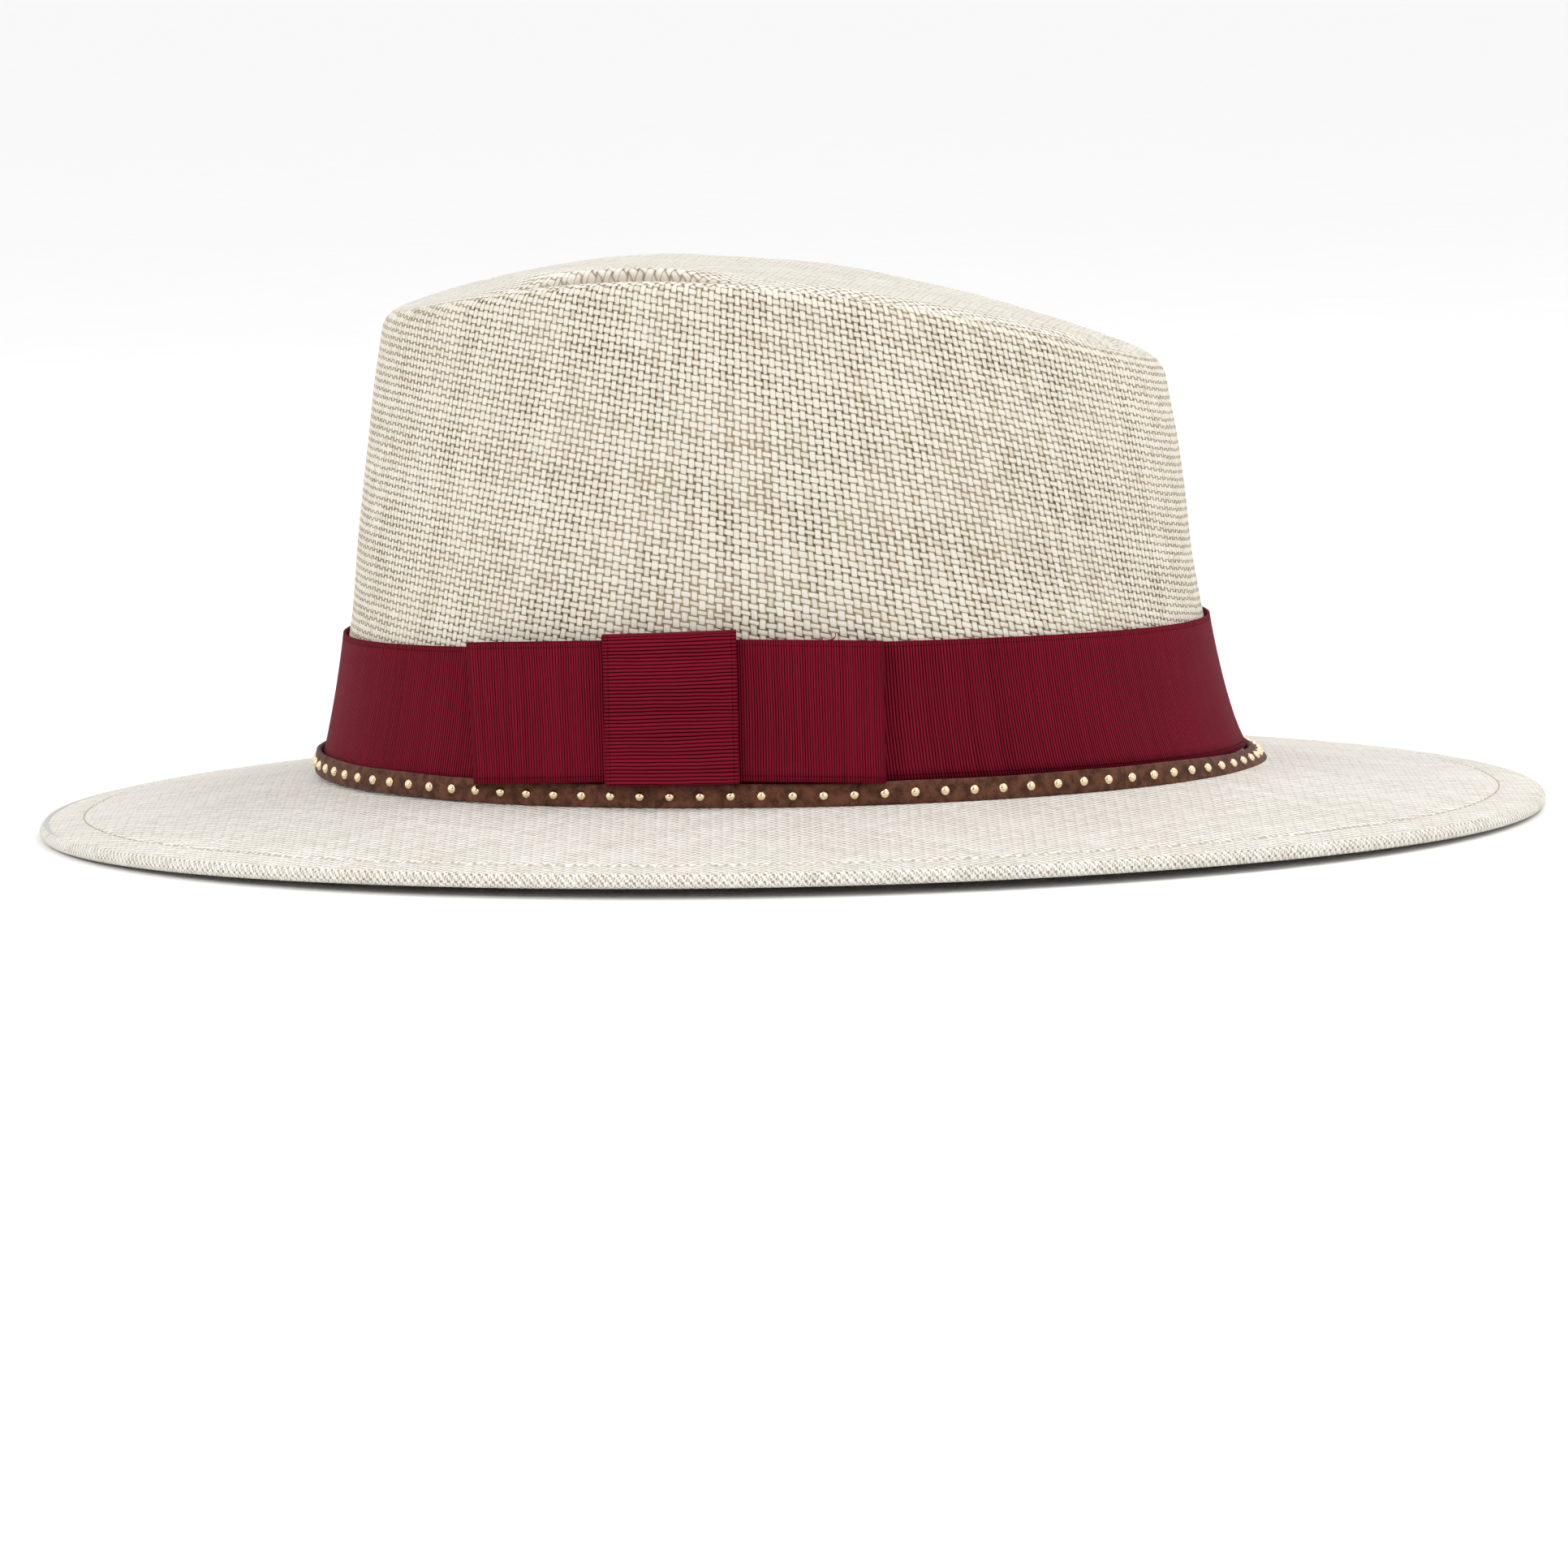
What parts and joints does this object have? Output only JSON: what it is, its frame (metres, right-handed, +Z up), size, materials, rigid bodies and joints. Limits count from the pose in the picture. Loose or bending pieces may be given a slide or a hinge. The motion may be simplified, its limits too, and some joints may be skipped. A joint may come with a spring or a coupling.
{
  "type": "panama hat",
  "caption": "Wide-brimmed woven straw hat with a creased crown, a grosgrain ribbon and flat bow, and a studded suede strap round the foot of the crown.",
  "frame": {"origin": "bottom centre of the hat's box, on the surface that the brim stands on", "axes": "+Z up through the crown, -Y the front of the hat, +X the wearer's left, where the bow is"},
  "size_m": [0.326, 0.356, 0.1317],
  "materials": {
    "straw_cloth": "plain weave of flat natural straw strips, matt",
    "spring_wire": "drawn spring wire",
    "straw_thread": "natural sewing thread",
    "sweatband_cotton": "ribbed cotton band",
    "label_satin": "blank woven satin label",
    "grosgrain": "burgundy ribbed grosgrain, soft sheen",
    "burgundy_thread": "sewing thread",
    "suede": "brown suede, matt nap",
    "gilt_brass": "polished pale gold domes",
    "brown_thread": "waxed sewing thread"
  },
  "bodies": {
    "root": {"straw_body": "straw_cloth", "brim_wire": "spring_wire", "hem_stitching": "straw_thread", "sweatband": "sweatband_cotton", "sweatband_stitching": "straw_thread", "size_label": "label_satin", "ribbon_band": "grosgrain", "ribbon_tacks": "burgundy_thread", "bow_loops": "grosgrain", "bow_knot": "grosgrain", "bow_tacks": "burgundy_thread", "studded_strap": "suede", "strap_studs": "gilt_brass", "strap_tacks": "brown_thread"}
  },
  "joints": []
}
